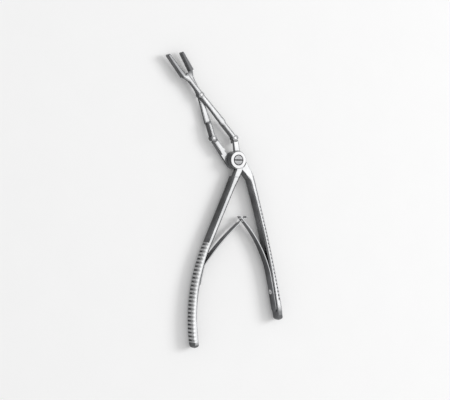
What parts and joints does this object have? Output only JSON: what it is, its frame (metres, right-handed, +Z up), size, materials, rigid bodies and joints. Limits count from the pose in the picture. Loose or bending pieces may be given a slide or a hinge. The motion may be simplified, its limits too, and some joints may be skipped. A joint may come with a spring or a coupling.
{
  "type": "septum compression forceps",
  "caption": "Double-action septum compression forceps in polished steel, with curved grooved grips, interlocked leaf springs and two slim crossed jaws.",
  "frame": {"origin": "main pivot axis at the flat rest plane under the closed nut, with the instrument lying on its side", "axes": "+Y from the grips to the jaws, +Z up along the pivot axis, +X towards the straighter grip"},
  "size_m": [0.0867, 0.1979, 0.0089],
  "materials": {
    "handle_steel": "polished",
    "jaw_steel": "polished",
    "spring_steel": "satin",
    "polished_steel": "polished"
  },
  "bodies": {
    "left_handle": {"left_handle": "handle_steel", "pivot_collar": "polished_steel", "pivot_screw": "polished_steel", "pivot_nut": "polished_steel", "left_spring": "spring_steel", "left_spring_screw": "polished_steel"},
    "right_handle": {"right_handle": "handle_steel", "right_spring": "spring_steel", "right_spring_screw": "polished_steel"},
    "long_jaw": {"long_jaw": "jaw_steel", "long_jaw_pin": "polished_steel", "jaw_pin": "polished_steel"},
    "short_jaw": {"short_jaw": "jaw_steel", "short_jaw_pin": "polished_steel"}
  },
  "joints": [
    {"name": "handle_hinge", "type": "hinge", "parent": "left_handle", "child": "right_handle", "pos_m": [0, 0, 0.0044], "axis": [0, 0, -1], "range_deg": [0, 22], "stiffness_Nm_per_rad": 0.15, "springref_deg": -11.46, "deforming": ["left_spring", "right_spring"]},
    {"name": "long_jaw_hinge", "type": "hinge", "parent": "left_handle", "child": "long_jaw", "pos_m": [-0.0012, 0.015, 0.0044], "axis": [0, 0, -1], "range_deg": [0, 17]},
    {"name": "short_jaw_hinge", "type": "hinge", "parent": "right_handle", "child": "short_jaw", "pos_m": [-0.0174, 0.0146, 0.0044], "axis": [0, 0, 1], "range_deg": [0, 17.4]}
  ],
  "couplings": [
    {"joint": "long_jaw_hinge", "follows": "handle_hinge", "ratio": 0.756},
    {"joint": "short_jaw_hinge", "follows": "handle_hinge", "ratio": 0.775}
  ]
}
